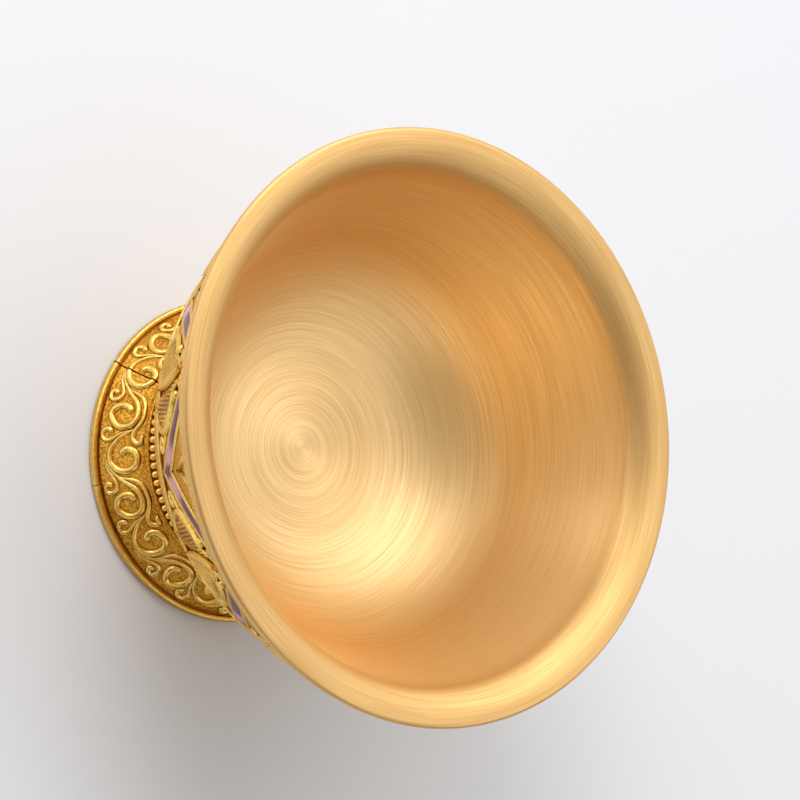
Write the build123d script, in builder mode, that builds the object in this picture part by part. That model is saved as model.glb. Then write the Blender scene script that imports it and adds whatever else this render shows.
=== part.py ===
from build123d import *
import math
import os

os.makedirs("parts", exist_ok=True)

# Offering bowl standing on its foot, mouth up. Millimetres and degrees.
# The origin is the middle of the base, +Z is the bowl's axis, and the panel ornament is drawn facing -Y.

# Bowl, spun from sheet with a lip flared outwards
overall_height = 55.8
rim_radius = 44.8
lip_width = 5.1
lip_thickness = 1.2
lip_inner_round = 5.2
lip_under_round = 3.6
lip_edge_round = 0.55
bowl_depth = 34.3
wall_lean = 21.8
wall_thickness = 1.4
floor_round = 21.0

# Sheath of thin struck sheet round the bowl: an upper cone, a belly ring and a lower cup
lip_overhang = 0.7
sheath_clearance = 1.3
sheath_wall = 0.9
belly_drop = 21.7
belly_ring_height = 0.7
belly_ring_reach = 0.4
belly_ring_round = 0.3
rim_band_height = 2.4
rim_band_thickness = 0.5

# Neck, a turned spool under the bowl
neck_top_radius = 16.8
neck_waist_radius = 15.6
neck_foot_radius = 18.4
neck_fillet_height = 0.8
neck_clearance = 0.4

# Foot: plate, bead row, rolled band and edge ring
foot_height = 9.2
foot_radius = 25.3
foot_plate_radius = 20.4
foot_plate_thickness = 1.0
foot_plate_round = 0.3
bead_diameter = 1.2
bead_gap = 0.137
band_setback = 0.4
band_wall = 1.0
band_seam_width = 0.25
band_seam_low_azimuth = -38.2
band_seam_high_azimuth = -34.9
edge_ring_height = 1.5
edge_ring_reach = 1.1
edge_ring_ledge = 0.8
edge_ring_groove = 0.3
edge_ring_groove_depth = 0.6
edge_ring_round = 0.35
edge_ring_base_round = 0.5
edge_ring_joint_width = 0.12
edge_ring_joint_azimuth = 8.0

# Stud soldered under the bowl, with its washer and nut inside the foot
stud_diameter = 5.0
stud_flange_diameter = 12.0
stud_flange_thickness = 1.2
stud_tail = 0.8
bore_clearance = 0.2
washer_diameter = 10.0
washer_thickness = 1.0
nut_across_flats = 8.0
nut_height = 4.0
nut_sides = 6
thread_clearance = 0.05

# How relief is drawn: depth it is pushed through its coat as a share of the cone's radius,
# place of a leaf's widest point along its length, and points along a scroll
relief_push_share = 1 / 3
leaf_belly_share = 0.4
scroll_steps = 14

# Relief on the upper cone: enamel chevrons, with lotus petals between them
panel_pitch = 23.7
panel_azimuth = 7.3
fit_gap = 0.03
enamel_height = 0.3
frame_height = 0.35
relief_height = 0.55
panel_margin = 0.5
chevron_lean = 33.5
chevron_rise = 4.2
frame_rise = 1.3
frame_gap = 0.12
inner_chevron_lean = 14.0
inner_chevron_rise = 3.4
inner_chevron_drop = 8.7
petal_length = 13.5
petal_width = 3.6
petal_foot_offset = 6.0
petal_lean = -19.0
rib_width = 1.5
low_curl_radius = 1.2
low_curl_gap = 0.9
low_curl_turn = 300.0
curl_line_width = 0.6
pearl_diameter = 1.4
pearl_offset = 3.4
pearl_drop = 3.7
pearl_gap = 0.3

# Relief on the foot band: a running vine whose scrolls hang from its two edges in turn
scroll_period = 13.8
scroll_relief_height = 0.6
scroll_outer_radius = 3.6
scroll_inner_radius = 0.85
scroll_start_angle = 180.0
scroll_turn = 450.0
scroll_line_width = 0.95
scroll_tip_width = 0.55
vine_curl_radius = 0.85
vine_curl_turn = 300.0
vine_curl_line_width = 0.5
vine_curl_margin = 0.35

# Heights and radii that follow from the sizes above
floor_height = overall_height - bowl_depth
bowl_underside = floor_height - wall_thickness
lip_underside = overall_height - lip_thickness
lip_inner_radius = rim_radius - lip_width
wall_slope = math.tan(math.radians(wall_lean))
wall_level = wall_thickness / math.cos(math.radians(wall_lean))
floor_corner_radius = lip_inner_radius - bowl_depth * wall_slope
floor_tangent = floor_round * math.tan(math.radians((90 - wall_lean) / 2))
floor_centre_radius = floor_corner_radius - floor_tangent
floor_centre_height = floor_height + floor_round
wall_start_height = floor_height + floor_tangent * math.cos(math.radians(wall_lean))
sheath_top_radius = rim_radius - lip_overhang
belly_height = overall_height - belly_drop
sheath_foot_height = belly_height + belly_ring_height / 2
cup_rim_height = belly_height - belly_ring_height / 2
foot_plate_underside = foot_height - foot_plate_thickness
band_top_radius = foot_plate_radius - band_setback
band_foot_radius = foot_radius - edge_ring_reach
bead_circle_radius = foot_plate_radius - bead_diameter / 2
bead_count = math.floor(2 * math.pi * bead_circle_radius / (bead_diameter + bead_gap))
stud_bore_radius = stud_diameter / 2 + bore_clearance
nut_top_height = foot_plate_underside - washer_thickness
stud_foot_height = nut_top_height - nut_height - stud_tail


def wall_radius(level):
    """Radius of the bowl's inner wall line at a height."""
    return lip_inner_radius - (overall_height - level) * wall_slope


def bowl_outer_radius(level):
    """Radius of the bowl's outside at a height, on its straight wall or its rounded bottom."""
    if level >= wall_start_height:
        return wall_radius(level) + wall_level
    round_out = floor_round + wall_thickness
    return floor_centre_radius + math.sqrt(round_out**2 - (floor_centre_height - level) ** 2)


def round_radius(level, radius):
    """Radius at a height on a round that shares the bottom round's centre."""
    return floor_centre_radius + math.sqrt(radius**2 - (floor_centre_height - level) ** 2)


def round_height(distance, radius):
    """Height at a distance from the axis on a round that shares the bottom round's centre."""
    return floor_centre_height - math.sqrt(radius**2 - (distance - floor_centre_radius) ** 2)


def turned_section(points, rounds):
    """Half section for turning: an outline of (radius, height) points with some corners rounded."""
    with BuildSketch(Plane.XZ) as section:
        with BuildLine():
            Polyline(*points, close=True)
        make_face()
        for corner, size in rounds:
            fillet(section.vertices().sort_by_distance((*corner, 0))[0], size)
    return section.sketch


# Cones that carry relief, each as (foot radius, foot height, top radius, top height) of its outside
sheath_foot_radius = bowl_outer_radius(sheath_foot_height) + sheath_clearance + sheath_wall
sheath_slope = (sheath_top_radius - sheath_foot_radius) / (lip_underside - sheath_foot_height)
rim_band_foot_height = lip_underside - rim_band_height
rim_band_foot_radius = sheath_foot_radius + (rim_band_foot_height - sheath_foot_height) * sheath_slope
sheath_cone = (sheath_foot_radius, sheath_foot_height, sheath_top_radius, lip_underside)
panel_cone = (sheath_foot_radius, sheath_foot_height, rim_band_foot_radius, rim_band_foot_height)
rim_band_cone = (rim_band_foot_radius, rim_band_foot_height, sheath_top_radius, lip_underside)
band_cone = (band_foot_radius, edge_ring_height, band_top_radius, foot_plate_underside)
panel_count = math.floor(2 * math.pi * sheath_foot_radius / panel_pitch)
scroll_period_count = math.floor(math.pi * (band_foot_radius + band_top_radius) / scroll_period)


def slant(cone):
    """Length of the cone's side."""
    foot_r, foot_z, top_r, top_z = cone
    return math.hypot(top_r - foot_r, top_z - foot_z)


def front_plane(cone):
    """Plane that touches the cone along its front line, with its origin on the cone's lower edge."""
    foot_r, foot_z, top_r, top_z = cone
    outward = (0, foot_z - top_z, foot_r - top_r)
    return Plane(origin=(0, -foot_r, foot_z), x_dir=(1, 0, 0), z_dir=outward)


def cone_layer(cone, inner, outer):
    """Thin coat on a cone, between two level distances from its outside."""
    foot_r, foot_z, top_r, top_z = cone
    low = ((foot_r + inner, foot_z), (foot_r + outer, foot_z))
    high = ((top_r + outer, top_z), (top_r + inner, top_z))
    with BuildPart() as coat:
        revolve(turned_section(low + high, ()), axis=Axis.Z)
    return coat.part


def relief_group(cone, height, shapes, count, first_azimuth):
    """Raised shapes on a cone: flat shapes pushed through a thin coat, then repeated round the axis."""
    through = relief_push_share * cone[0]
    with BuildPart() as motif:
        for shape in shapes:
            extrude(shape, amount=through, both=True)
        add(cone_layer(cone, fit_gap, fit_gap + height), mode=Mode.INTERSECT)
    with BuildPart() as group:
        with PolarLocations(0, count, start_angle=first_azimuth):
            add(motif.part)
    return group.part


def chevron(cone, vertex, lean, thickness):
    """V of constant upright thickness, with arms that run on past the cone's top edge."""
    plane = front_plane(cone)
    arm_rise = slant(cone) - vertex + thickness
    arm_reach = arm_rise * math.tan(math.radians(lean))
    low = [(arm_reach, vertex + arm_rise), (0, vertex), (-arm_reach, vertex + arm_rise)]
    high = [(x, y + thickness) for x, y in reversed(low)]
    with BuildSketch(plane) as shape:
        with BuildLine():
            Polyline(*low, *high, close=True)
        make_face()
    return shape.sketch


def leaf(plane, foot, length, width, lean):
    """Pointed leaf from its foot, leaning from upright towards +X."""
    ahead = (math.sin(math.radians(lean)), math.cos(math.radians(lean)))
    across = (ahead[1], -ahead[0])
    tip = (foot[0] + length * ahead[0], foot[1] + length * ahead[1])
    belly_along = leaf_belly_share * length
    belly = (foot[0] + belly_along * ahead[0], foot[1] + belly_along * ahead[1])
    sides = []
    for hand in (1, -1):
        sides.append((belly[0] + hand * width / 2 * across[0], belly[1] + hand * width / 2 * across[1]))
    with BuildSketch(plane) as shape:
        with BuildLine():
            Spline(foot, sides[0], tip)
            Spline(tip, sides[1], foot)
        make_face()
    return shape.sketch


def scroll(plane, centre, outer, inner, start, turn, widths):
    """Tapering strip along a spiral that winds in from the outer to the inner radius."""
    left = []
    right = []
    for step in range(scroll_steps + 1):
        share = step / scroll_steps
        angle = math.radians(start + turn * share)
        radius = outer * (inner / outer) ** share
        half = (widths[0] + (widths[1] - widths[0]) * share) / 2
        for side, reach in ((left, radius + half), (right, radius - half)):
            side.append((centre[0] + reach * math.cos(angle), centre[1] + reach * math.sin(angle)))
    with BuildSketch(plane) as shape:
        with BuildLine():
            outside = Spline(*left)
            inside = Spline(*right)
            Line(outside @ 0, inside @ 0)
            Line(outside @ 1, inside @ 1)
        make_face()
    return shape.sketch


def disc(plane, centre, diameter):
    """Round spot on a plane."""
    with BuildSketch(plane) as shape:
        with Locations(centre):
            Circle(diameter / 2)
    return shape.sketch


def finish(piece, name):
    """Label a finished piece and write it out under its name."""
    piece.label = name
    export_step(piece, f"parts/{name}.step")


# Bowl
with BuildPart() as bowl:
    inner_line = [(0, floor_height), (floor_corner_radius, floor_height), (lip_inner_radius, overall_height)]
    lip_line = [(rim_radius, overall_height), (rim_radius, lip_underside)]
    under_lip = (wall_radius(lip_underside) + wall_level, lip_underside)
    under_floor = (wall_radius(bowl_underside) + wall_level, bowl_underside)
    outline = [*inner_line, *lip_line, under_lip, under_floor, (0, bowl_underside)]
    corner_rounds = (
        (inner_line[1], floor_round),
        (inner_line[2], lip_inner_round),
        (lip_line[0], lip_edge_round),
        (lip_line[1], lip_edge_round),
        (under_lip, lip_under_round),
        (under_floor, floor_round + wall_thickness),
    )
    revolve(turned_section(outline, corner_rounds), axis=Axis.Z)
finish(bowl.part, "bowl")

# Upper cone of the sheath
with BuildPart() as sheath_cone_sheet:
    add(cone_layer(sheath_cone, -sheath_wall, 0))
finish(sheath_cone_sheet.part, "sheath_cone")

# Lower cup of the sheath, which follows the bowl's rounded bottom down to the neck
with BuildPart() as sheath_cup:
    cup_hole_radius = neck_top_radius + neck_clearance
    cup_inner_round = floor_round + wall_thickness + sheath_clearance
    cup_outer_round = cup_inner_round + sheath_wall
    with BuildSketch(Plane.XZ):
        with BuildLine():
            arcs = []
            for size in (cup_inner_round, cup_outer_round):
                low = (cup_hole_radius, round_height(cup_hole_radius, size))
                high = (round_radius(cup_rim_height, size), cup_rim_height)
                arcs.append(RadiusArc(low, high, -size))
            Line(arcs[0] @ 0, arcs[1] @ 0)
            Line(arcs[0] @ 1, arcs[1] @ 1)
        make_face()
    revolve(axis=Axis.Z)
finish(sheath_cup.part, "sheath_cup")

# Ring of half-round wire over the seam between cone and cup
with BuildPart() as belly_ring:
    ring_inner = sheath_foot_radius - sheath_wall
    ring_outer = sheath_foot_radius + belly_ring_reach
    ring_low = [(ring_inner, cup_rim_height), (ring_outer, cup_rim_height)]
    ring_high = [(ring_outer, sheath_foot_height), (ring_inner, sheath_foot_height)]
    ring_rounds = ((ring_low[1], belly_ring_round), (ring_high[0], belly_ring_round))
    revolve(turned_section(ring_low + ring_high, ring_rounds), axis=Axis.Z)
finish(belly_ring.part, "belly_ring")

# Plain strip round the sheath, just under the lip
with BuildPart() as rim_band:
    add(cone_layer(rim_band_cone, fit_gap, fit_gap + rim_band_thickness))
finish(rim_band.part, "rim_band")

# Neck with its bore and the recess for the stud's flange
with BuildPart() as neck:
    neck_fillet_top = foot_height + neck_fillet_height
    neck_collar_foot = bowl_underside - stud_flange_thickness
    with BuildSketch(Plane.XZ):
        with BuildLine():
            hollow_from = (neck_top_radius, neck_collar_foot)
            hollow_to = (neck_foot_radius, neck_fillet_top)
            hollow_middle = (neck_waist_radius, (neck_collar_foot + neck_fillet_top) / 2)
            ThreePointArc(hollow_from, hollow_middle, hollow_to)
            Polyline(hollow_to, (neck_foot_radius, foot_height), (0, foot_height), (0, bowl_underside))
            Polyline((0, bowl_underside), (neck_top_radius, bowl_underside), hollow_from)
        make_face()
    revolve(axis=Axis.Z)
    with Locations((0, 0, bowl_underside)):
        flange_recess_radius = stud_flange_diameter / 2 + bore_clearance
        CounterBoreHole(stud_bore_radius, flange_recess_radius, stud_flange_thickness + fit_gap)
finish(neck.part, "neck")

# Foot plate that the neck and the beads stand on
with BuildPart() as foot_plate:
    with BuildSketch(Plane.XY.offset(foot_plate_underside)):
        Circle(foot_plate_radius)
        Circle(stud_bore_radius, mode=Mode.SUBTRACT)
    extrude(amount=foot_plate_thickness)
    fillet(foot_plate.faces().sort_by(Axis.Z)[-1].outer_wire().edges(), foot_plate_round)
finish(foot_plate.part, "foot_plate")

# Row of soldered beads round the foot of the neck
with BuildPart() as beads:
    with Locations((0, 0, foot_height + bead_diameter / 2 + fit_gap)):
        with PolarLocations(bead_circle_radius, bead_count):
            Sphere(bead_diameter / 2)
finish(beads.part, "beads")


def seam_blade():
    """Thin slanting blade where the two ends of the rolled foot band meet."""
    points = []
    for azimuth, radius, level in (
        (band_seam_low_azimuth, band_foot_radius, edge_ring_height),
        (band_seam_high_azimuth, band_top_radius, foot_plate_underside),
    ):
        turn = math.radians(azimuth)
        points.append(Vector(radius * math.sin(turn), -radius * math.cos(turn), level))
    along = (points[1] - points[0]).normalized()
    middle = (points[0] + points[1]) / 2
    across = along.cross(Vector(middle.X, middle.Y, 0))
    outward = across.cross(along)
    with BuildPart() as blade:
        with BuildSketch(Plane(origin=middle, x_dir=along, z_dir=outward)):
            Rectangle(2 * (points[1] - points[0]).length, band_seam_width)
        extrude(amount=2 * band_wall, both=True)
    return blade.part


# Foot band, a strip rolled into a cone with an open butt seam
with BuildPart() as foot_band:
    add(cone_layer(band_cone, -band_wall, 0))
    add(seam_blade(), mode=Mode.SUBTRACT)
finish(foot_band.part, "foot_band")

# Edge ring under the band, bent from wire with a butt joint and a groove beside the band
with BuildPart() as edge_ring:
    edge_inner = band_foot_radius - band_wall - edge_ring_ledge
    groove_outer = band_foot_radius + edge_ring_groove
    groove_floor = edge_ring_height - edge_ring_groove_depth
    edge_outline = [
        (edge_inner, 0),
        (foot_radius, 0),
        (foot_radius, edge_ring_height),
        (groove_outer, edge_ring_height),
        (groove_outer, groove_floor),
        (band_foot_radius, groove_floor),
        (band_foot_radius, edge_ring_height),
        (edge_inner, edge_ring_height),
    ]
    edge_rounds = (
        (edge_outline[1], edge_ring_base_round),
        (edge_outline[2], edge_ring_round),
        (edge_outline[3], edge_ring_round),
    )
    revolve(turned_section(edge_outline, edge_rounds), axis=Axis.Z)
    joint_direction = edge_ring_joint_azimuth - 90
    joint_plane = Plane.XY.rotated((0, 0, joint_direction))
    with BuildSketch(joint_plane):
        with Locations((foot_radius, 0)):
            Rectangle(foot_radius, edge_ring_joint_width)
    extrude(amount=edge_ring_height, mode=Mode.SUBTRACT)
finish(edge_ring.part, "edge_ring")

# Stud under the bowl
with BuildPart() as stud:
    with BuildSketch(Plane.XY.offset(bowl_underside)):
        Circle(stud_flange_diameter / 2)
    extrude(amount=-stud_flange_thickness)
    with BuildSketch(Plane.XY.offset(stud_foot_height)):
        Circle(stud_diameter / 2)
    extrude(amount=bowl_underside - stud_foot_height)
finish(stud.part, "stud")

# Washer under the foot plate
with BuildPart() as washer:
    with BuildSketch(Plane.XY.offset(nut_top_height)):
        Circle(washer_diameter / 2)
        Circle(stud_bore_radius, mode=Mode.SUBTRACT)
    extrude(amount=washer_thickness)
finish(washer.part, "washer")

# Hexagon nut that draws the foot up to the bowl
with BuildPart() as nut:
    with BuildSketch(Plane.XY.offset(nut_top_height - nut_height)):
        RegularPolygon(nut_across_flats / 2, nut_sides, major_radius=False)
        Circle(stud_diameter / 2 + thread_clearance, mode=Mode.SUBTRACT)
    extrude(amount=nut_height)
finish(nut.part, "nut")

# Enamel chevrons between two gold frames, each with a smaller chevron inside, on the upper cone
panel_plane = front_plane(panel_cone)
panel_slant = slant(panel_cone)
low_frame_vertex = panel_margin
enamel_vertex = low_frame_vertex + frame_rise + frame_gap
high_frame_vertex = enamel_vertex + chevron_rise + frame_gap
inner_vertex = panel_slant - inner_chevron_drop
between_azimuth = panel_azimuth + 180 / panel_count


def panel_relief(height, azimuth, shapes):
    """Relief shapes on the upper cone, once in each panel."""
    return relief_group(panel_cone, height, shapes, panel_count, azimuth)


enamel_shape = chevron(panel_cone, enamel_vertex, chevron_lean, chevron_rise)
finish(panel_relief(enamel_height, panel_azimuth, [enamel_shape]), "enamel_chevrons")

low_frame_shape = chevron(panel_cone, low_frame_vertex, chevron_lean, frame_rise)
finish(panel_relief(frame_height, panel_azimuth, [low_frame_shape]), "chevron_low_frames")

high_frame_shape = chevron(panel_cone, high_frame_vertex, chevron_lean, frame_rise)
finish(panel_relief(frame_height, panel_azimuth, [high_frame_shape]), "chevron_high_frames")

inner_shape = chevron(panel_cone, inner_vertex, inner_chevron_lean, inner_chevron_rise)
finish(panel_relief(relief_height, panel_azimuth, [inner_shape]), "inner_chevrons")

# Lotus petals between the chevrons: an upright rib, two leaning side petals, curls and pearls
rib_shape = leaf(panel_plane, (0, panel_margin), panel_slant - 2 * panel_margin, rib_width, 0)
finish(panel_relief(relief_height, between_azimuth, [rib_shape]), "petal_ribs")

petal_shapes = []
curl_shapes = []
pearl_shapes = []
curl_level = panel_margin + low_curl_radius + curl_line_width / 2
curl_offset = petal_foot_offset + low_curl_gap + low_curl_radius + curl_line_width / 2
pearl_level = panel_slant - pearl_drop - pearl_diameter / 2
for hand, curl_start in ((1, 0), (-1, 180)):
    petal_foot = (hand * petal_foot_offset, panel_margin)
    petal_shapes.append(leaf(panel_plane, petal_foot, petal_length, petal_width, hand * petal_lean))
    curl_centre = (hand * curl_offset, curl_level)
    curl_ends = (low_curl_radius, curl_line_width)
    curl_widths = (curl_line_width, curl_line_width)
    curl_turn = hand * low_curl_turn
    curl_shapes.append(scroll(panel_plane, curl_centre, *curl_ends, curl_start, curl_turn, curl_widths))
    for place in range(2):
        level = pearl_level - place * (pearl_diameter + pearl_gap)
        pearl_shapes.append(disc(panel_plane, (hand * pearl_offset, level), pearl_diameter))
finish(panel_relief(relief_height, between_azimuth, petal_shapes), "side_petals")
finish(panel_relief(relief_height, between_azimuth, curl_shapes), "petal_curls")
finish(panel_relief(relief_height, between_azimuth, pearl_shapes), "petal_pearls")

# Vine on the foot band, wound from the edge side and from the bead side in turn
band_plane = front_plane(band_cone)
band_middle = slant(band_cone) / 2
scroll_pitch_angle = 180 / scroll_period_count
scroll_ends = (scroll_outer_radius, scroll_inner_radius)
scroll_widths = (scroll_line_width, scroll_tip_width)
vine_curl_ends = (vine_curl_radius, vine_curl_line_width)
vine_curl_widths = (vine_curl_line_width, vine_curl_line_width)
vine_curl_level = band_middle - vine_curl_margin - vine_curl_radius - vine_curl_line_width / 2


def band_relief(shape, azimuth):
    """Relief on the foot band, once in each period of the vine, parted where the band's ends meet."""
    with BuildPart() as cut_group:
        add(relief_group(band_cone, scroll_relief_height, [shape], scroll_period_count, azimuth))
        add(seam_blade(), mode=Mode.SUBTRACT)
    return cut_group.part


for side, hand, azimuth in (("edge", 1, 0), ("bead", -1, scroll_pitch_angle)):
    start = hand * scroll_start_angle
    turn = hand * scroll_turn
    vine_shape = scroll(band_plane, (0, band_middle), *scroll_ends, start, turn, scroll_widths)
    finish(band_relief(vine_shape, azimuth), f"{side}_side_scrolls")
    curl_centre = (0, band_middle - hand * vine_curl_level)
    curl_turn = hand * vine_curl_turn
    vine_curl = scroll(band_plane, curl_centre, *vine_curl_ends, start, curl_turn, vine_curl_widths)
    finish(band_relief(vine_curl, azimuth + scroll_pitch_angle / 2), f"{side}_side_curls")
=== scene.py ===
import math

import bpy
from mathutils import Matrix, Vector


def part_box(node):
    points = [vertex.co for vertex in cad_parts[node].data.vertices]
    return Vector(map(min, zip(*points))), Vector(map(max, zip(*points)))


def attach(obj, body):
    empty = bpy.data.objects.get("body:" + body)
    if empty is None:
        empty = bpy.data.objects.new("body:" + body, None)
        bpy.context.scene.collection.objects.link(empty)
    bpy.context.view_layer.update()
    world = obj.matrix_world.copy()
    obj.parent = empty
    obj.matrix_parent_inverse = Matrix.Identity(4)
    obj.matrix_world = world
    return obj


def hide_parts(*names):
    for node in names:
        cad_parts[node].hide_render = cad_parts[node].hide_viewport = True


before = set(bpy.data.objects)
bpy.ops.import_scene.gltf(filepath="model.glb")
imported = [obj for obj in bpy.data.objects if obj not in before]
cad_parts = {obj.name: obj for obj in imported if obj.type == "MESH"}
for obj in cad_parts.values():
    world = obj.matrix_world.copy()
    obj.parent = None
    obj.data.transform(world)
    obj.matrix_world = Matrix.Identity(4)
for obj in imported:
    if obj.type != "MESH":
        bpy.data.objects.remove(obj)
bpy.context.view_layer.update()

bl_info = {
    "name": "Gilt offering bowl",
    "version": (1, 0, 0),
    "blender": (4, 5, 0),
    "location": "3D View > Sidebar > Offering bowl",
    "description": "Models the visible pieces of a gilt offering bowl over its CAD frame",
    "category": "Object",
}

BOWL_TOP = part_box("bowl")[1]
EDGE_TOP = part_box("edge_ring")[1]
BODY = "root"
MM = 0.001
# Rows and steps of the turned outlines
SHEATH_ROWS, BAND_ROWS, CUP_STEPS, NECK_STEPS = 24, 16, 36, 24
# Degrees of the rings on the round end of a stroke
CAP_TURNS = (25, 50, 70, 84)
# Length of the steps on small rounds
FINE_ROUND = 0.06 * MM
# Depth of the relief's back below its face
RELIEF_BACK = 0.3 * MM
# Straight part at the top of the neck
NECK_LAND = 1.2 * MM
# Radius and thickness of the stud's flange, and the room round the stud in its holes
FLANGE = (6.0 * MM, 1.2 * MM)
STUD_ROOM = 0.2 * MM
# Room round the neck in the hole of the sheath
NECK_ROOM = 0.4 * MM
# Share of their height that the enamel, the frames and the rows of beads have at the edge or between two beads
ENAMEL_EDGE, FRAME_EDGE, BEAD_EDGE = 0.2, 0.1, 0.35
# Power that flattens the enamel's dome, and beads on each arm of a small chevron
ENAMEL_FLAT = 0.6
ARM_BEADS = 9
# Leaf outlines: power that shifts the widest place, and power that blunts the ends
RIB_LEAF = (0.72, 0.8)
PETAL_LEAF = (0.8, 0.75)
# Share of its leaf that is cut off at a petal's foot, and the least width of a rib's and a petal's ends
PETAL_CUT = 0.12
RIB_END, PETAL_END = 0.04, 0.03
# Room between the petals and the panel's edges, and how far the chevrons reach under the plain strip
PANEL_MARGIN = 0.5 * MM
PANEL_OVERLAP = 1.2 * MM


def length(description, millimetres):
    """Length property with its default in millimetres."""
    return bpy.props.FloatProperty(description=description, default=millimetres * MM, unit="LENGTH", precision=5)


def angle(description, degrees):
    """Angle property with its default in degrees."""
    return bpy.props.FloatProperty(description=description, default=math.radians(degrees), subtype="ANGLE")


def number(description, value):
    """Count property."""
    return bpy.props.IntProperty(description=description, default=value, min=1)


def factor(description, value):
    """Plain factor property."""
    return bpy.props.FloatProperty(description=description, default=value)


def colour(description, *rgb):
    """Linear colour property."""
    return bpy.props.FloatVectorProperty(
        description=description, default=rgb, size=3, subtype="COLOR", min=0, max=1
    )


def named(group):
    """Name every property of a group as its attribute is named."""
    for key, made in group.__annotations__.items():
        made.keywords["name"] = key.replace("_", " ").capitalize()
    return group


@named
class BowlSizes(bpy.types.PropertyGroup):
    """Sizes of the spun bowl and its sheath."""

    rim_radius: length("From the axis to the edge of the lip", BOWL_TOP.x / MM)
    height: length("From the table to the top of the lip", BOWL_TOP.z / MM)
    lip_width: length("From the lip's edge to the line of the wall", 5.1)
    lip_thickness: length("Thickness of the lip", 1.2)
    lip_inner_round: length("Round between the wall and the lip", 5.2)
    lip_under_round: length("Round under the lip", 3.6)
    lip_edge_round: length("Round on the lip's outer edge", 0.55)
    depth: length("From the top of the lip to the floor inside", 34.3)
    wall_lean: angle("Lean of the straight wall from upright", 21.8)
    wall: length("Thickness of the bowl's sheet", 1.4)
    floor_round: length("Round between the floor and the wall", 21.0)
    sheath_overhang: length("Reach of the lip past the sheath", 0.7)
    sheath_wall: length("Thickness of the sheath", 0.9)
    sheath_gap: length("Room between the bowl and its sheath", 1.3)
    sheath_foot_radius: length("Radius of the sheath at the belly line", 34.873)
    belly_drop: length("From the top of the lip to the belly line", 21.7)
    belly_ring_height: length("Height of the belly ring", 0.7)
    belly_ring_reach: length("Reach of the belly ring past the sheath", 0.4)
    rim_band_height: length("Height of the plain strip under the lip", 2.4)
    rim_band_thickness: length("Thickness of the plain strip", 0.5)
    segments: number("Sides of every turned piece", 288)


@named
class FootSizes(bpy.types.PropertyGroup):
    """Sizes of the neck, the foot and the fastening."""

    neck_top_radius: length("Radius of the neck under the bowl", 16.8)
    neck_waist_radius: length("Radius of the neck at its waist", 15.6)
    neck_foot_radius: length("Radius of the neck on the foot plate", 18.4)
    neck_fillet: length("Height of the neck's lower fillet", 0.8)
    foot_height: length("From the table to the top of the foot plate", 9.2)
    foot_radius: length("Radius of the foot's edge", EDGE_TOP.x / MM)
    plate_radius: length("Radius of the foot plate", 20.4)
    plate_thickness: length("Thickness of the foot plate", 1.0)
    bead_diameter: length("Diameter of the beads", 1.2)
    bead_count: number("Beads in the row", 93)
    band_top_radius: length("Radius of the foot band at its top", 20.0)
    band_foot_radius: length("Radius of the foot band at its foot", 24.2)
    band_wall: length("Thickness of the foot band", 1.0)
    seam_width: length("Gap where the band's ends meet", 0.25)
    seam_low: angle("Azimuth of the seam at its foot", -38.2)
    seam_high: angle("Azimuth of the seam at its top", -34.9)
    edge_height: length("Height of the edge ring", EDGE_TOP.z / MM)
    edge_inner_radius: length("Inner radius of the edge ring", 22.4)
    groove_width: length("Width of the edge ring's groove", 0.22)
    groove_depth: length("Depth of the edge ring's groove", 0.35)
    joint_width: length("Gap in the edge ring", 0.12)
    joint_azimuth: angle("Azimuth of the edge ring's gap", 8.0)
    stud_diameter: length("Diameter of the stud", 5.0)
    thread_pitch: length("Pitch of the stud's thread", 0.8)
    washer_diameter: length("Diameter of the washer", 10.0)
    washer_thickness: length("Thickness of the washer", 1.0)
    nut_flats: length("Width of the nut across its flats", 8.0)
    nut_height: length("Height of the nut", 4.0)


@named
class ReliefSizes(bpy.types.PropertyGroup):
    """Sizes of the ornament."""

    panels: number("Chevron panels round the sheath", 9)
    panel_azimuth: angle("Azimuth of the first chevron", 7.3)
    chevron_lean: angle("Lean of the chevron's arms from upright", 33.5)
    low_frame_foot: length("Slant height of the lower frame's point", 0.5)
    frame_rise: length("Upright thickness of the frames", 1.3)
    enamel_foot: length("Slant height of the enamel's point", 1.92)
    enamel_rise: length("Upright thickness of the enamel", 4.2)
    high_frame_foot: length("Slant height of the upper frame's point", 6.24)
    inner_chevron_lean: angle("Lean of the small chevron's arms", 14.0)
    inner_chevron_rise: length("Upright thickness of the small chevron", 3.4)
    inner_chevron_drop: length("From the panel's top to the small chevron's point", 8.7)
    relief_height: length("Height of the petals and pearls", 0.55)
    frame_height: length("Height of the chevrons' frames", 0.35)
    enamel_height: length("Height of the enamel", 0.32)
    petal_height: length("Height of the side petals and ribs", 0.85)
    petal_length: length("Length of a side petal", 15.4)
    petal_width: length("Width of a side petal", 6.6)
    petal_offset: length("From the rib's axis to a side petal", 1.0)
    petal_field: factor("Share of a side petal's width inside its rolled border", 0.8)
    barb_pitch: length("Spacing of the flutes on a side petal", 0.64)
    barb_lean: factor("Sideways run of the flutes for each length of rise", 0.18)
    rib_width: length("Width of the upright rib", 1.5)
    pearl_diameter: length("Diameter of the pearls", 1.4)
    scroll_periods: number("Periods of the vine round the foot", 10)
    scroll_width: length("Width of the vine before its heads", 1.2)


@named
class Finishes(bpy.types.PropertyGroup):
    """Colours of the finishes."""

    brushed_gold: colour("Inside of the bowl", 0.94, 0.655, 0.3)
    # The lip's gold is a darker, more saturated copy of the inside's gold: painted shade on the same sheet.
    lip_shaded_gold: colour("Lip of the bowl", 0.79, 0.485, 0.172)
    sheath_gold: colour("Plain parts of the sheath", 0.86, 0.53, 0.18)
    stippled_ground: colour("Ground between the relief", 0.86, 0.41, 0.045)
    relief_gold: colour("Raised ornament", 0.96, 0.61, 0.15)
    enamel: colour("Purple enamel", 0.34, 0.11, 0.27)
    fastener_brass: colour("Stud, washer and nut", 0.72, 0.55, 0.28)
    floor: colour("Pale studio floor", 0.665, 0.673, 0.7)


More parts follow.
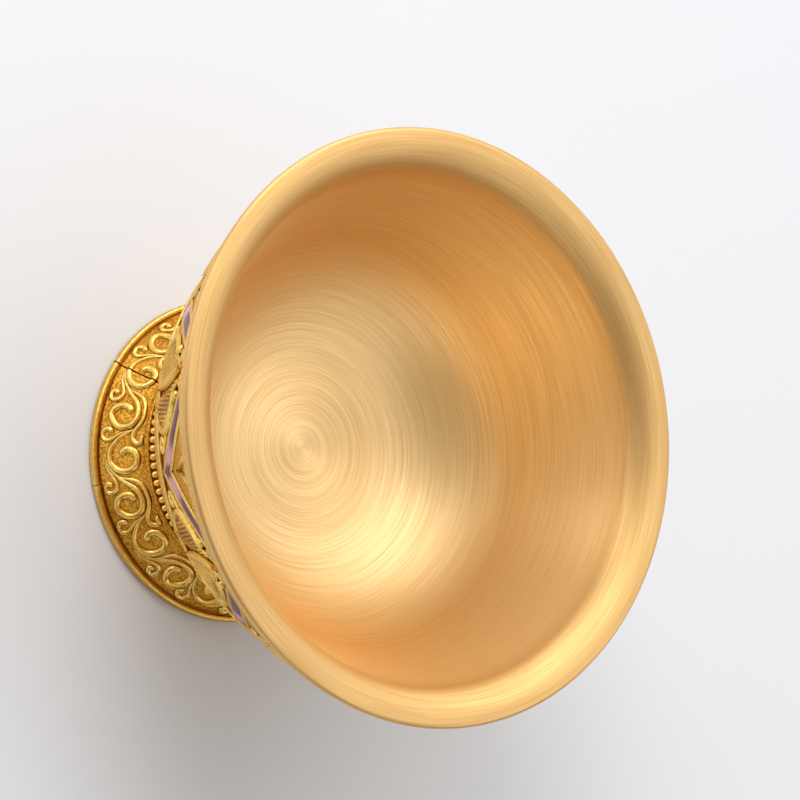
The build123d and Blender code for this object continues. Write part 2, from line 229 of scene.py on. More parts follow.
@named
class StudioSettings(bpy.types.PropertyGroup):
    """Camera and light of the studio."""

    lens: factor("Focal length in millimetres", 225.0)
    key_power: factor("Watts of the large soft light", 3.2)
    side_power: factor("Watts of the low light that edges the relief", 0.55)
    fill_power: factor("Watts of the light without reflections", 6.0)
    world_bright: factor("Surroundings on the key light's side", 1.24)
    world_dim: factor("Surroundings on the other side", 0.74)
    world_low: factor("Surroundings low on the other side", 0.05)
    world_behind: factor("Share of the surroundings left behind the camera", 0.42)


GROUPS = (
    ("bowl_sizes", BowlSizes),
    ("foot_sizes", FootSizes),
    ("relief_sizes", ReliefSizes),
    ("finishes", Finishes),
    ("studio", StudioSettings),
)


# Modelling by hand

def start_piece():
    """Leave edit mode and clear the selection before a new piece."""
    if bpy.context.object and bpy.context.object.mode != "OBJECT":
        bpy.ops.object.mode_set(mode="OBJECT")
    bpy.ops.object.select_all(action="DESELECT")


def end_piece(name, smooth=35.0):
    """Leave edit mode, name the piece and smooth it up to an angle."""
    if bpy.context.object.mode != "OBJECT":
        bpy.ops.object.mode_set(mode="OBJECT")
    piece = bpy.context.object
    piece.name = name
    piece.data.name = name
    bpy.ops.object.transform_apply(location=True, rotation=True, scale=True)
    bpy.ops.object.shade_smooth_by_angle(angle=math.radians(smooth))
    return piece


def settle(piece, material, slot, *nodes):
    """Give a piece its finish, its body and the CAD nodes that it stands for."""
    piece.data.materials.clear()
    piece.data.materials.append(material)
    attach(piece, BODY)
    if nodes:
        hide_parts(*nodes)
    return piece


def rounded(corners, fineness=0.55 * MM):
    """Outline of (radius, height) points, with an arc in place of each corner that has a round."""
    points = []
    for index, (radius, level, size) in enumerate(corners):
        here = Vector((radius, level))
        if not size:
            points.append((radius, level))
            continue
        back = (Vector(corners[index - 1][:2]) - here).normalized()
        ahead = (Vector(corners[(index + 1) % len(corners)][:2]) - here).normalized()
        half = back.angle(ahead) / 2
        centre = here + (back + ahead).normalized() * (size / math.sin(half))
        arm = here + back * (size / math.tan(half)) - centre
        left = ahead.x * back.y - ahead.y * back.x > 0
        sweep = (math.pi - 2 * half) * (1 if left else -1)
        steps = 4 + int(size * abs(sweep) / fineness)
        for step in range(steps + 1):
            turn = sweep * step / steps
            x = arm.x * math.cos(turn) - arm.y * math.sin(turn)
            y = arm.x * math.sin(turn) + arm.y * math.cos(turn)
            points.append((centre.x + x, centre.y + y))
    return points


def turned(outline, segments, closed=True):
    """Draw an outline of (radius, height) points from one vertex and spin it round the axis."""
    start_piece()
    bpy.ops.mesh.primitive_plane_add(size=MM, enter_editmode=True)
    bpy.ops.mesh.merge(type="CENTER")
    bpy.ops.transform.translate(value=(outline[0][0], 0, outline[0][1]))
    path = list(outline) + ([outline[0]] if closed else [])
    for here, there in zip(path, path[1:]):
        step = (there[0] - here[0], 0, there[1] - here[1])
        bpy.ops.mesh.extrude_vertices_move(TRANSFORM_OT_translate={"value": step})
    bpy.ops.mesh.select_all(action="SELECT")
    bpy.ops.mesh.spin(steps=segments, angle=2 * math.pi, center=(0, 0, 0), axis=(0, 0, 1))
    bpy.ops.mesh.select_all(action="SELECT")
    bpy.ops.mesh.remove_doubles(threshold=2e-6)
    bpy.ops.mesh.normals_make_consistent(inside=False)


def ring_copies(count):
    """Copy the mesh being edited round the axis."""
    bpy.ops.mesh.select_all(action="SELECT")
    sweep = 2 * math.pi * (count - 1) / count
    bpy.ops.mesh.spin(steps=count - 1, dupli=True, angle=sweep, center=(0, 0, 0), axis=(0, 0, 1))


def cut(piece, blade):
    """Cut a blade out of a piece and delete the blade."""
    modifier = piece.modifiers.new("cut", "BOOLEAN")
    modifier.operation = "DIFFERENCE"
    modifier.solver = "EXACT"
    modifier.object = blade
    start_piece()
    bpy.context.view_layer.objects.active = piece
    piece.select_set(True)
    bpy.ops.object.modifier_apply(modifier=modifier.name)
    bpy.data.objects.remove(blade)


class Cone:
    """Outside of a cone, which relief is laid on by distance, slant height and height above it."""

    def __init__(self, foot, top):
        self.foot = Vector(foot)
        self.along = Vector(top) - self.foot
        self.slant = self.along.length
        self.along.normalize()
        self.outward = Vector((self.along.y, -self.along.x))
        if self.outward.x < 0:
            self.outward.negate()
        self.top = self.foot + self.along * self.slant

    def shell(self, wall, rows):
        """Outline of a sheet under this outside, which is divided into rows."""
        (low_r, low_z), (high_r, high_z) = self.foot, self.top
        out, up = high_r - low_r, high_z - low_z
        outer = [(low_r + out * row / rows, low_z + up * row / rows) for row in range(rows)]
        return [*outer, (high_r, high_z), (high_r - wall, high_z), (low_r - wall, low_z)]

    def at(self, azimuth, slant, above):
        """Point at an azimuth from the front, a slant height and a height above the cone."""
        radius, level = self.foot + self.along * slant + self.outward * above
        return Vector((radius * math.sin(azimuth), -radius * math.cos(azimuth), level))

    def beside(self, across, slant, above, azimuth):
        """Point at a level distance to one side of an azimuth."""
        radius = self.foot.x + self.along.x * slant
        return self.at(azimuth + math.asin(across / radius), slant, above)

    def slant_of(self, level):
        """Slant height of a level."""
        return (level - self.foot.y) / self.along.y


def sheet(columns, rows, place, thickness):
    """Shape a grid by a function of two shares and give it a thickness below its face."""
    start_piece()
    bpy.ops.mesh.primitive_grid_add(x_subdivisions=columns, y_subdivisions=rows, size=2)
    grid = bpy.context.object
    for vertex in grid.data.vertices:
        vertex.co = place((vertex.co.x + 1) / 2, (vertex.co.y + 1) / 2)
    middle = grid.data.polygons[len(grid.data.polygons) // 2]
    bpy.ops.object.mode_set(mode="EDIT")
    bpy.ops.mesh.select_all(action="SELECT")
    outward = Vector((middle.center.x, middle.center.y, 0))
    if middle.normal.dot(outward) < 0:
        bpy.ops.mesh.flip_normals()
    bpy.ops.object.mode_set(mode="OBJECT")
    solid = grid.modifiers.new("thickness", "SOLIDIFY")
    solid.thickness = thickness
    solid.offset = -1
    bpy.ops.object.modifier_apply(modifier=solid.name)
    return grid


def join(pieces):
    """Join pieces into the first one."""
    start_piece()
    for piece in pieces:
        piece.select_set(True)
    bpy.context.view_layer.objects.active = pieces[0]
    if len(pieces) > 1:
        bpy.ops.object.join()
    return pieces[0]


def around(pieces, name, count, smooth=40.0):
    """Join the parts of one motif, copy it round the axis and finish the piece."""
    join(pieces)
    bpy.ops.object.mode_set(mode="EDIT")
    ring_copies(count)
    return end_piece(name, smooth)


def smoothed(points, steps=7):
    """Points on a smooth line through the given ones."""
    ends = [[2 * a - b for a, b in zip(points[0], points[1])], [2 * a - b for a, b in zip(points[-1], points[-2])]]
    row = [ends[0], *points, ends[1]]
    line = []
    for a, b, c, d in zip(row, row[1:], row[2:], row[3:]):
        for step in range(steps):
            t = step / steps
            line.append([
                0.5 * (2 * q + (r - p) * t + (2 * p - 5 * q + 4 * r - s) * t**2 + (3 * q - p - 3 * r + s) * t**3)
                for p, q, r, s in zip(a, b, c, d)
            ])
    line.append(list(points[-1]))
    return line


def stroke(cone, points, width, thin, full, tip, sink):
    """Bar along (azimuth, slant height) points: its centres, sunk into the cone, and its radii."""
    line = smoothed(points)
    last = len(line) - 1
    bar = []
    for index, (azimuth, slant) in enumerate(line):
        share = index / last
        rise = min(1, share / full)
        swell = thin + (1 - thin) * math.sin(rise * math.pi / 2)
        fall = max(0, (share - full) / (1 - full))
        bar.append((azimuth, slant, width / 2 * swell * (1 - (1 - tip) * fall)))
    ends = []
    for here, beyond in ((bar[0], bar[1]), (bar[-1], bar[-2])):
        radius = cone.foot.x + cone.along.x * here[1]
        step = Vector(((here[0] - beyond[0]) * radius, here[1] - beyond[1])).normalized()
        cap = []
        for turn in CAP_TURNS:
            reach = here[2] * math.sin(math.radians(turn))
            size = here[2] * math.cos(math.radians(turn))
            cap.append((here[0] + step.x * reach / radius, here[1] + step.y * reach, size))
        ends.append(cap)
    bar = ends[0][::-1] + bar + ends[1]
    return [(cone.at(azimuth, slant, -sink * size), size) for azimuth, slant, size in bar]


def bars(lines):
    """Round bars along lines of (centre, radius), as one mesh."""
    start_piece()
    bpy.ops.curve.primitive_bezier_curve_add()
    drawn = bpy.context.object
    curve = drawn.data
    curve.splines.clear()
    curve.dimensions = "3D"
    curve.bevel_depth = MM
    curve.bevel_resolution = 4
    curve.use_fill_caps = True
    for line in lines:
        spline = curve.splines.new("POLY")
        spline.points.add(len(line) - 1)
        for point, (place, size) in zip(spline.points, line):
            point.co = (*place, 1)
            point.radius = size / MM
    bpy.ops.object.convert(target="MESH")
    return bpy.context.object


# Finishes

# Places of the share, the two colours and the result among a mix node's sockets
MIX_SOCKETS = (0, 6, 7)
MIX_RESULT = 2
# Levels between which the inside's gold goes over to the lip's darker gold, painted shade on the lip
LIP_SHADE_LEVELS = (50.0 * MM, 54.0 * MM)
# Shares of an enamel arm over which a painted highlight comes in and painted shade comes back, and the sway of those
# lines
ENAMEL_HIGHLIGHT_SPAN = (0.05, 0.13)
ENAMEL_SHADE_SPAN = (0.24, 0.46)
ENAMEL_SWAY = 0.16
# Tint of gold at grazing angles
GOLD_EDGE = (1, 0.82, 0.55, 1)
# Dark and pale of the brush lines, as shares of the base colour
LINE_TONES = ((0.89, 0.85, 0.78), (1.06, 1.09, 1.15))
# Spacing, length of the arcs and detail of the fine and the broad brush lines, and the share of the fine ones
FINE_LINES = (0.12 * MM, 12 * MM, 0.0)
BROAD_LINES = (0.32 * MM, 18 * MM, 1.0)
FINE_SHARE = 0.72
# Share of the stipple in the satin gold, beside its clouds, and how often those come in a metre
GRAIN_SHARE = 0.7
CLOUD_SCALE = 160.0


def add_node(tree, kind, values=None, **settings):
    """Add a node, set its options, and fill its sockets with values or links."""
    made = tree.nodes.new("ShaderNode" + kind)
    for key, value in settings.items():
        setattr(made, key, value)
    for key, value in (values or {}).items():
        if isinstance(value, bpy.types.NodeSocket):
            tree.links.new(value, made.inputs[key])
        else:
            made.inputs[key].default_value = value
    return made


def plain_material(name, sockets):
    """Material with one principled shader whose sockets are set here."""
    material = bpy.data.materials.new(name)
    material.use_nodes = True
    tree = material.node_tree
    tree.nodes.clear()
    shader = add_node(tree, "BsdfPrincipled", sockets)
    add_node(tree, "OutputMaterial", {"Surface": shader.outputs["BSDF"]})
    return material, tree, shader


def maths(tree, operation, first, second=0.0):
    """Math node's result."""
    return add_node(tree, "Math", {0: first, 1: second}, operation=operation).outputs[0]


def blended(tree, first, second, share):
    """Mix of two values by the first one's share."""
    return maths(tree, "ADD", maths(tree, "MULTIPLY", first, share), maths(tree, "MULTIPLY", second, 1 - share))


def ranged(tree, value, span=(0.0, 1.0), ends=(0.0, 1.0), kind="LINEAR"):
    """A value mapped from a span to two ends."""
    values = {"Value": value, "From Min": span[0], "From Max": span[1], "To Min": ends[0], "To Max": ends[1]}
    return add_node(tree, "MapRange", values, interpolation_type=kind).outputs["Result"]


def run(tree, value, span, ends=(0.0, 1.0)):
    """A value that goes softly from one end to the other over a span."""
    return ranged(tree, value, span, ends, "SMOOTHSTEP")


def tint(tree, share, first, second):
    """Mix of two colours by a share."""
    values = dict(zip(MIX_SOCKETS, (share, first, second)))
    return add_node(tree, "Mix", values, data_type="RGBA").outputs[MIX_RESULT]


def shade(base, scale):
    """A colour made lighter or darker, with alpha."""
    return tuple(min(1, c * s) for c, s in zip(base, scale)) + (1,)


def places(tree, kind="Object"):
    """Coordinates on a piece, or directions in the surroundings."""
    return add_node(tree, "TexCoord").outputs[kind]


def split(tree, vector):
    """The three parts of a vector."""
    return add_node(tree, "SeparateXYZ", {0: vector}).outputs


def noise(tree, place, scale, detail, roughness=0.5):
    """Soft noise, as a share."""
    values = {"Vector": place, "Scale": scale, "Detail": detail, "Roughness": roughness}
    return add_node(tree, "TexNoise", values).outputs["Fac"]


def dress(tree, shader, hue, roughness, strength, distance, height):
    """Link a colour, a roughness where there is one, and a bump to a shader."""
    bumped = add_node(tree, "Bump", {"Strength": strength, "Distance": distance, "Height": height})
    tree.links.new(hue, shader.inputs["Base Color"])
    if roughness is not None:
        tree.links.new(roughness, shader.inputs["Roughness"])
    tree.links.new(bumped.outputs[0], shader.inputs["Normal"])


def lathe_lines(tree, spacing, breaks, detail):
    """Fine broken lines that run round the axis, as a share."""
    across, deep, level = split(tree, places(tree))
    flat = add_node(tree, "CombineXYZ", {0: across, 1: deep}).outputs[0]
    radius = add_node(tree, "VectorMath", {0: flat}, operation="LENGTH").outputs["Value"]
    along = maths(tree, "MULTIPLY", maths(tree, "ADD", radius, level), 1 / spacing)
    spread = add_node(tree, "VectorMath", {0: flat, "Scale": 1 / breaks}, operation="SCALE").outputs[0]
    across, deep, _ = split(tree, spread)
    line = add_node(tree, "CombineXYZ", {0: across, 1: deep, 2: along}).outputs[0]
    return noise(tree, line, 1.0, detail, 0.6)


def brushed_gold(name, base, lip, roughness, anisotropy, bump, coat):
    """Gold brushed in circles on a lathe, of another tone on the lip; on the bowl that tone is a darker copy of the
    gold, painted shade.
    """
    material, tree, shader = plain_material(name, {
        "Metallic": 1.0, "Anisotropic": anisotropy, "Anisotropic Rotation": 0.25,
        "Specular Tint": GOLD_EDGE, "Coat Weight": coat, "Coat Roughness": 0.35,
    })
    lines = blended(tree, lathe_lines(tree, *FINE_LINES), lathe_lines(tree, *BROAD_LINES), FINE_SHARE)
    contrast = ranged(tree, lines, (0.32, 0.68))
    tones = [tint(tree, contrast, *(shade(gold, tone) for tone in LINE_TONES)) for gold in (base, lip)]
    level = split(tree, places(tree))[2]
    # Painted shade: above these levels the bowl takes the lip's darker gold.
    hue = tint(tree, ranged(tree, level, LIP_SHADE_LEVELS), *tones)
    rough = ranged(tree, contrast, ends=(roughness + 0.05, roughness - 0.05))
    dress(tree, shader, hue, rough, bump, 0.05 * MM, lines)
    tangent = add_node(tree, "Tangent", direction_type="RADIAL", axis="Z")
    tree.links.new(tangent.outputs[0], shader.inputs["Tangent"])
    return material


def painted_recess_shade(tree, hue, dark, reach):
    """A colour with painted shade: it goes dark where ambient occlusion finds recesses."""
    # Painted shade: the share of open surroundings darkens the colour in recesses, between parts and beside the
    # relief.
    open_share = add_node(tree, "AmbientOcclusion", {"Distance": reach}, samples=6).outputs["AO"]
    return tint(tree, ranged(tree, open_share, (0.35, 0.9)), dark, hue)


def satin_gold(name, base, roughness, stipple, strength, reach, valley_shade_span=0.0):
    """Gold with a fine stipple, cloudy wear, painted shade in the recesses and, where asked for, painted shade in
    concave places.
    """
    material, tree, shader = plain_material(name, {"Metallic": 1.0, "Specular Tint": GOLD_EDGE})
    place = places(tree)
    grain = noise(tree, place, 1 / stipple, 2.0)
    mixed = blended(tree, grain, noise(tree, place, CLOUD_SCALE, 3.0), GRAIN_SHARE)
    contrast = ranged(tree, mixed, (0.41, 0.59))
    swing = 1 - 0.5 * strength
    hue = tint(tree, contrast, shade(base, (swing, 0.95 * swing, 0.8 * swing)), shade(base, (1.12, 1.2, 1.5)))
    if valley_shade_span:
        # Painted shade: concave places, where pointiness is low, go dark, so the valleys look shaded and the crests
        # stay pale.
        bend = add_node(tree, "NewGeometry").outputs["Pointiness"]
        unshaded_share = ranged(tree, bend, (0.5 - valley_shade_span, 0.5 + valley_shade_span / 2))
        hue = tint(tree, unshaded_share, shade(base, (0.42, 0.3, 0.17)), hue)
    # Painted shade in the recesses round the stipple and the relief.
    recess_shaded = painted_recess_shade(tree, hue, shade(base, (0.3, 0.2, 0.12)), reach)
    rough = ranged(tree, contrast, ends=(roughness + 0.07, roughness - 0.06))
    dress(tree, shader, recess_shaded, rough, strength, 0.2 * MM, grain)
    return material


def enamel_gloss(name, base):
    """Glossy enamel with painted light: painted shade at the point and at the ends of its arms, and a painted
    highlight between.
    """
    material, tree, shader = plain_material(
        name, {"Metallic": 0.0, "Roughness": 0.3, "IOR": 1.35, "Specular IOR Level": 0.12}
    )
    cloud = noise(tree, places(tree), 300.0, 3.0)
    along = split(tree, places(tree, "UV"))[0]
    arm = maths(tree, "ABSOLUTE", maths(tree, "SUBTRACT", maths(tree, "MULTIPLY", along, 2.0), 1.0))
    arm = maths(tree, "ADD", arm, ranged(tree, cloud, ends=(-ENAMEL_SWAY / 2, ENAMEL_SWAY / 2)))
    # Painted highlight and painted shade: the colour runs from a dark copy at the point to a pale copy and back to
    # dark at the ends.
    rise, fall = run(tree, arm, ENAMEL_HIGHLIGHT_SPAN), run(tree, arm, ENAMEL_SHADE_SPAN, (1.0, 0.0))
    pale = maths(tree, "MULTIPLY", rise, fall)
    hue = tint(tree, pale, shade(base, (0.38, 0.16, 0.28)), shade(base, (1.85, 2.9, 1.8)))
    # Painted shade in the recesses beside the frames.
    recess_shaded = painted_recess_shade(tree, hue, shade(base, (0.15, 0.08, 0.12)), 0.4 * MM)
    dress(tree, shader, recess_shaded, None, 0.1, 0.08 * MM, cloud)
    return material


MAKERS = {
    "brushed gold": lambda name, c: brushed_gold(
        name, c.brushed_gold, c.lip_shaded_gold, roughness=0.43, anisotropy=0.6, bump=0.2, coat=0.6
    ),
    "sheath gold": lambda name, c: brushed_gold(
        name, c.sheath_gold, c.sheath_gold, roughness=0.3, anisotropy=0.4, bump=0.1, coat=0.0
    ),
    # The reach of each satin gold is how far its painted recess shade spreads.
    "stippled ground": lambda name, c: satin_gold(
        name, c.stippled_ground, roughness=0.32, stipple=0.38 * MM, strength=0.9, reach=1.2 * MM
    ),
    "relief gold": lambda name, c: satin_gold(
        name, c.relief_gold, roughness=0.2, stipple=0.6 * MM, strength=0.15, reach=0.6 * MM, valley_shade_span=0.05
    ),
    "purple enamel": lambda name, c: enamel_gloss(name, c.enamel),
    "fastener brass": lambda name, c: satin_gold(
        name, c.fastener_brass, roughness=0.38, stipple=0.4 * MM, strength=0.15, reach=0.5 * MM
    ),
}


def finish(context, name):
    """Material of a finish, made once."""
    return bpy.data.materials.get(name) or MAKERS[name](name, context.scene.finishes)


# Shared places

def levels(context):
    """Heights that several pieces share."""
    bowl = context.scene.bowl_sizes
    foot = context.scene.foot_sizes
    lip_under = bowl.height - bowl.lip_thickness
    belly = bowl.height - bowl.belly_drop
    return {
        "lip_under": lip_under,
        "floor": bowl.height - bowl.depth,
        "under": bowl.height - bowl.depth - bowl.wall,
        "sheath_foot": belly + bowl.belly_ring_height / 2,
        "cup_rim": belly - bowl.belly_ring_height / 2,
        "panel_top": lip_under - bowl.rim_band_height,
        "plate_under": foot.foot_height - foot.plate_thickness,
    }


def floor_round_centre(context):
    """Distance from the axis and height of the centre of the bowl's bottom round."""
    bowl = context.scene.bowl_sizes
    corner = bowl.rim_radius - bowl.lip_width - bowl.depth * math.tan(bowl.wall_lean)
    reach = bowl.floor_round * math.tan((math.pi / 2 - bowl.wall_lean) / 2)
    return corner - reach, bowl.height - bowl.depth + bowl.floor_round


def sheath_cone(context):
    """Outside of the whole upper sheath."""
    bowl = context.scene.bowl_sizes
    z = levels(context)
    foot = (bowl.sheath_foot_radius, z["sheath_foot"])
    return Cone(foot, (bowl.rim_radius - bowl.sheath_overhang, z["lip_under"]))


def band_cone(context):
    """Outside of the foot band."""
    foot = context.scene.foot_sizes
    top = (foot.band_top_radius, levels(context)["plate_under"])
    return Cone((foot.band_foot_radius, foot.edge_height), top)


def panel_slant(context):
    """Slant height of the panels, up to the plain band."""
    return sheath_cone(context).slant_of(levels(context)["panel_top"])


# Pieces that are made alike

def lathe(context, name, outline, material, slot, node, segments=0):
    """Turn a closed outline and settle the piece."""
    turned(outline, segments or context.scene.bowl_sizes.segments)
    settle(end_piece(name), finish(context, material), slot, node)


def ball(size, spot):
    """Small ball at a place, left in edit mode."""
    start_piece()
    bpy.ops.mesh.primitive_uv_sphere_add(segments=18, ring_count=10, radius=size, enter_editmode=True)
    bpy.ops.transform.translate(value=spot)


def relief(context, pieces, name, node, count, smooth=40.0):
    """Copy one motif of the gold relief round the axis and settle the piece."""
    settle(around(pieces, name, count, smooth), finish(context, "relief gold"), "relief_gold", node)


# Operators

class PieceOperator:
    """Options that all the piece operators share."""

    bl_options = {"REGISTER", "UNDO"}


class OFFERING_OT_bowl(PieceOperator, bpy.types.Operator):
    """Turn the bowl with its flat lip"""

    bl_idname = "offering.bowl"
    bl_label = "Bowl"

    def execute(self, context):
        s = context.scene.bowl_sizes
        z = levels(context)
        slope = math.tan(s.wall_lean)
        inner = s.rim_radius - s.lip_width
        wall_level = s.wall / math.cos(s.wall_lean)
        corners = [
            (0, z["floor"], 0),
            (inner - s.depth * slope, z["floor"], s.floor_round),
            (inner, s.height, s.lip_inner_round),
            (s.rim_radius, s.height, s.lip_edge_round),
            (s.rim_radius, z["lip_under"], s.lip_edge_round),
            (inner - s.lip_thickness * slope + wall_level, z["lip_under"], s.lip_under_round),
            (inner - (s.depth + s.wall) * slope + wall_level, z["under"], s.floor_round + s.wall),
            (0, z["under"], 0),
        ]
        turned(rounded(corners), s.segments, closed=False)
        settle(end_piece("offering_bowl"), finish(context, "brushed gold"), "brushed_gold", "bowl")
        return {"FINISHED"}


class OFFERING_OT_sheath(PieceOperator, bpy.types.Operator):
    """Turn the sheath: upper cone, lower cup, belly ring and the plain band under the lip"""

    bl_idname = "offering.sheath"
    bl_label = "Sheath"

    def execute(self, context):
        s = context.scene.bowl_sizes
        z = levels(context)
        cone = sheath_cone(context)
        top = cone.top
        shell = cone.shell(s.sheath_wall, SHEATH_ROWS)
        lathe(context, "sheath_upper", shell, "stippled ground", "sheath_gold", "sheath_cone")

        band_foot = cone.foot + cone.along * panel_slant(context)
        thick = s.rim_band_thickness
        corners = [
            (band_foot.x, band_foot.y, 0),
            (band_foot.x + thick, band_foot.y, 0.2 * MM),
            (top.x + thick, top.y, 0.1 * MM),
            (top.x, top.y, 0),
        ]
        lathe(context, "rim_strip", rounded(corners, FINE_ROUND), "relief gold", "sheath_gold", "rim_band")

        ring_in = cone.foot.x - s.sheath_wall
        ring_out = cone.foot.x + s.belly_ring_reach
        ring = [
            (ring_in, z["cup_rim"], 0),
            (ring_out, z["cup_rim"], 0.32 * MM),
            (ring_out, z["sheath_foot"], 0.32 * MM),
            (ring_in, z["sheath_foot"], 0),
        ]
        lathe(context, "belly_wire", rounded(ring, 0.08 * MM), "relief gold", "sheath_gold", "belly_ring")

        centre_r, centre_z = floor_round_centre(context)
        hole = context.scene.foot_sizes.neck_top_radius + NECK_ROOM
        outline = []
        inside = s.floor_round + s.wall + s.sheath_gap
        for size, order in ((inside + s.sheath_wall, 1), (inside, -1)):
            low = -math.acos((hole - centre_r) / size)
            high = -math.asin((centre_z - z["cup_rim"]) / size)
            turns = [low + (high - low) * step / CUP_STEPS for step in range(CUP_STEPS + 1)][::order]
            outline += [(centre_r + size * math.cos(t), centre_z + size * math.sin(t)) for t in turns]
        lathe(context, "sheath_lower", outline, "sheath gold", "sheath_gold", "sheath_cup")
        return {"FINISHED"}


class OFFERING_OT_neck(PieceOperator, bpy.types.Operator):
    """Turn the waisted neck and the foot plate, and set the bead row"""

    bl_idname = "offering.neck"
    bl_label = "Neck and beads"

    def execute(self, context):
        s = context.scene.foot_sizes
        z = levels(context)
        low = s.foot_height + s.neck_fillet
        high = z["under"] - NECK_LAND
        hollow = []
        for step in range(NECK_STEPS + 1):
            share = step / NECK_STEPS
            bulge = 1 - (2 * share - 1) ** 2
            straight = s.neck_foot_radius + (s.neck_top_radius - s.neck_foot_radius) * share
            deep = (s.neck_foot_radius + s.neck_top_radius) / 2 - s.neck_waist_radius
            hollow.append((straight - deep * bulge, low + (high - low) * share))
        bore = s.stud_diameter / 2 + STUD_ROOM
        ends = [(s.neck_top_radius, z["under"]), (bore, z["under"]), (bore, s.foot_height)]
        outline = [(s.neck_foot_radius, s.foot_height), *hollow, *ends]
        lathe(context, "waisted_neck", outline, "sheath gold", "foot_gold", "neck")

        plate = [
            (bore, z["plate_under"], 0),
            (s.plate_radius, z["plate_under"], 0),
            (s.plate_radius, s.foot_height, 0.3 * MM),
            (bore, s.foot_height, 0),
        ]
        lathe(context, "plate", rounded(plate, 0.08 * MM), "stippled ground", "foot_gold", "foot_plate")

        size = s.bead_diameter / 2
        ball(size, (0, size - s.plate_radius, s.foot_height + size))
        ring_copies(s.bead_count)
        settle(end_piece("bead_row", 60), finish(context, "relief gold"), "foot_gold", "beads")
        return {"FINISHED"}


class OFFERING_OT_foot(PieceOperator, bpy.types.Operator):
    """Turn the foot band and the edge ring, and cut their joints"""

    bl_idname = "offering.foot"
    bl_label = "Foot"

    def execute(self, context):
        s = context.scene.foot_sizes
        segments = context.scene.bowl_sizes.segments
        cone = band_cone(context)
        turned(cone.shell(s.band_wall, BAND_ROWS), segments)
        band = end_piece("scroll_band")
        cut(band, seam_blade(context))
        settle(band, finish(context, "stippled ground"), "foot_gold", "foot_band")

        groove_out = s.band_foot_radius + s.groove_width
        groove_floor = s.edge_height - s.groove_depth
        ring = [
            (s.edge_inner_radius, 0, 0.2 * MM),
            (s.foot_radius, 0, 0.5 * MM),
            (s.foot_radius, s.edge_height, 0.38 * MM),
            (groove_out, s.edge_height, 0.38 * MM),
            (groove_out, groove_floor, 0.1 * MM),
            (s.band_foot_radius, groove_floor, 0.1 * MM),
            (s.band_foot_radius, s.edge_height, 0),
            (s.edge_inner_radius, s.edge_height, 0.2 * MM),
        ]
        turned(rounded(ring, 0.07 * MM), segments)
        edge = end_piece("edge_wire")
        size = Matrix.Diagonal((s.joint_width, 4 * MM, 4 * MM, 1))
        place = Matrix.Translation((0, -s.foot_radius, 0))
        cut(edge, blade(size, place, Matrix.Rotation(s.joint_azimuth, 4, "Z")))
        cut(edge, seam_blade(context))
        settle(edge, finish(context, "relief gold"), "foot_gold", "edge_ring")
        return {"FINISHED"}


def blade(*moves):
    """Unit cube shaped by matrices, one after another, for a cut."""
    start_piece()
    bpy.ops.mesh.primitive_cube_add(size=1)
    for move in moves:
        bpy.context.object.data.transform(move)
    return bpy.context.object


def seam_blade(context):
    """Thin blade along the slanting seam of the foot band."""
    s = context.scene.foot_sizes
    cone = band_cone(context)
    low = cone.at(s.seam_low, 0, 0)
    high = cone.at(s.seam_high, cone.slant, 0)
    along = (high - low).normalized()
    middle = (low + high) / 2
    across = along.cross(Vector((middle.x, middle.y, 0))).normalized()
    outward = across.cross(along)
    turn = Matrix((across, along, outward)).transposed().to_4x4()
    size = Matrix.Diagonal((s.seam_width, 2 * cone.slant, 4 * s.band_wall, 1))
    return blade(size, Matrix.Translation(middle) @ turn)


def chevron_sheet(context, foot, lean, rise, height, columns, rows):
    """V-shaped strip on the upper sheath. Its height is a function of the shares along and across it."""
    s = context.scene.relief_sizes
    cone = sheath_cone(context)
    top = panel_slant(context) + PANEL_OVERLAP

    def place(along, across):
        side = 2 * along - 1
        vertex = foot + rise * across
        reach = (top - vertex) * abs(side)
        offset = math.copysign(reach * math.tan(lean), side)
        return cone.beside(offset, vertex + reach, height(along, across), s.panel_azimuth)

    return sheet(columns, rows, place, RELIEF_BACK)


class OFFERING_OT_chevrons(PieceOperator, bpy.types.Operator):
    """Lay the enamel chevrons, their double frames and the small beaded chevrons"""

    bl_idname = "offering.chevrons"
    bl_label = "Chevrons"

    def execute(self, context):
        s = context.scene.relief_sizes
        top = panel_slant(context)

        def dome(share):
            return math.sqrt(max(0, 1 - (2 * share - 1) ** 2))

        def enamel_height(along, across):
            return s.enamel_height * (ENAMEL_EDGE + (1 - ENAMEL_EDGE) * dome(across) ** ENAMEL_FLAT)

        def frame_height(along, across):
            return s.frame_height * (FRAME_EDGE + (1 - FRAME_EDGE) * dome(across))

        def beaded_height(along, across):
            bead = abs(math.sin(math.pi * abs(2 * along - 1) * ARM_BEADS))
            return s.relief_height * dome(across) * (BEAD_EDGE + (1 - BEAD_EDGE) * bead)

        gold = ("relief gold", "relief_gold")
        enamel = (s.chevron_lean, s.enamel_rise, enamel_height, 60, 16)
        framed = (s.chevron_lean, s.frame_rise, frame_height, 60, 20)
        beaded = (s.inner_chevron_lean, s.inner_chevron_rise, beaded_height, 120, 12)
        for name, node, (material, slot), foot, form in (
            ("enamel_vees", "enamel_chevrons", ("purple enamel", "enamel"), s.enamel_foot, enamel),
            ("low_frames", "chevron_low_frames", gold, s.low_frame_foot, framed),
            ("high_frames", "chevron_high_frames", gold, s.high_frame_foot, framed),
            ("beaded_vees", "inner_chevrons", gold, top - s.inner_chevron_drop, beaded),
        ):
            piece = around([chevron_sheet(context, foot, *form)], name, s.panels)
            settle(piece, finish(context, material), slot, node)
        return {"FINISHED"}


def leaf_width(share, skew, blunt):
    """Width of a leaf along its length, as a share of its greatest."""
    return math.sin(math.pi * share**skew) ** blunt if 0 < share < 1 else 0.0


